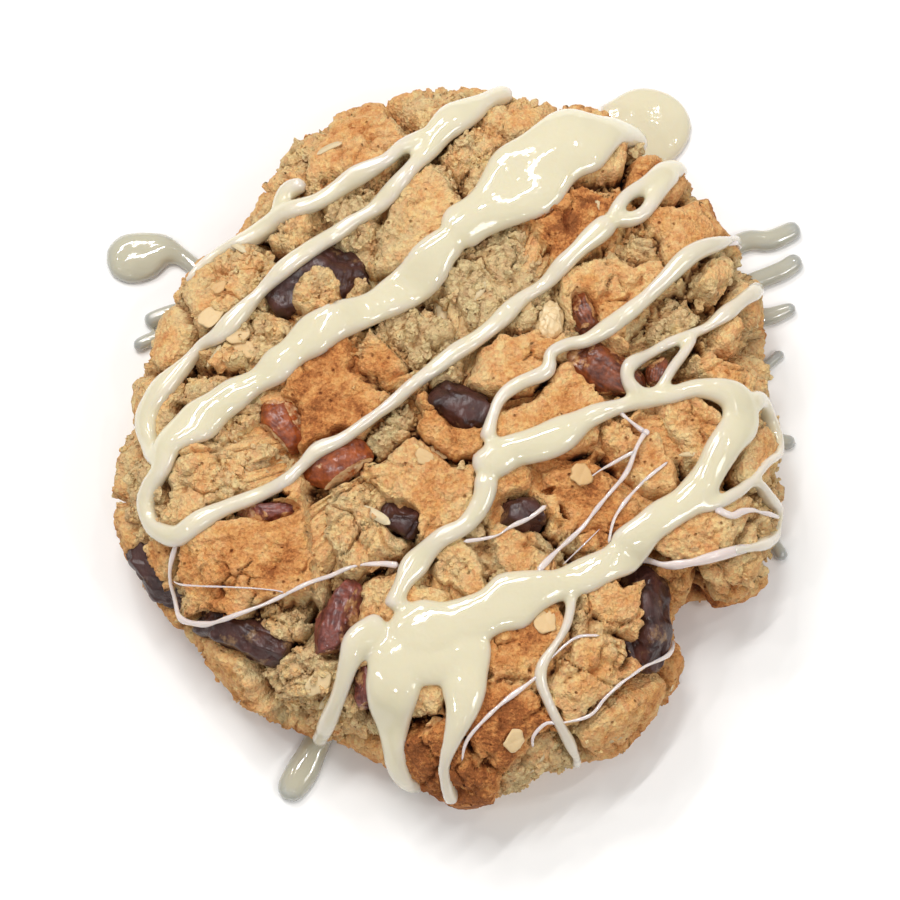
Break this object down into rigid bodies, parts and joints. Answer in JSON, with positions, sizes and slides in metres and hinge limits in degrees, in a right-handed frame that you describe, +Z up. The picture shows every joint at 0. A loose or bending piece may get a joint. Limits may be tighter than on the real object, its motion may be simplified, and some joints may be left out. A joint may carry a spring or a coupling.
{
  "type": "cowboy cookie",
  "caption": "Thick round oat cookie with a craggy top, set with chocolate chunks and pecan pieces and crossed by poured white chocolate.",
  "frame": {"origin": "middle of the flat underside that the cookie rests on", "axes": "+Z up out of the top face, -Y towards the viewer in the picture, +X to the viewer's right"},
  "size_m": [0.1055, 0.1114, 0.0239],
  "materials": {
    "dough": "baked oat dough, dry and crumbly, browner on the raised places",
    "chocolate": "dark chocolate that melted in the oven and set again, satin",
    "pecan": "toasted nut skin with a slight oily sheen",
    "white_chocolate": "poured white chocolate, glossy"
  },
  "bodies": {
    "root": {"cookie": "dough", "chocolate_1": "chocolate", "chocolate_2": "chocolate", "chocolate_3": "chocolate", "chocolate_4": "chocolate", "chocolate_5": "chocolate", "chocolate_6": "chocolate", "chocolate_7": "chocolate", "pecan_1": "pecan", "pecan_2": "pecan", "pecan_3": "pecan", "pecan_4": "pecan", "pecan_5": "pecan", "pecan_6": "pecan", "pecan_7": "pecan", "pecan_8": "pecan", "pecan_9": "pecan"}
  },
  "joints": []
}
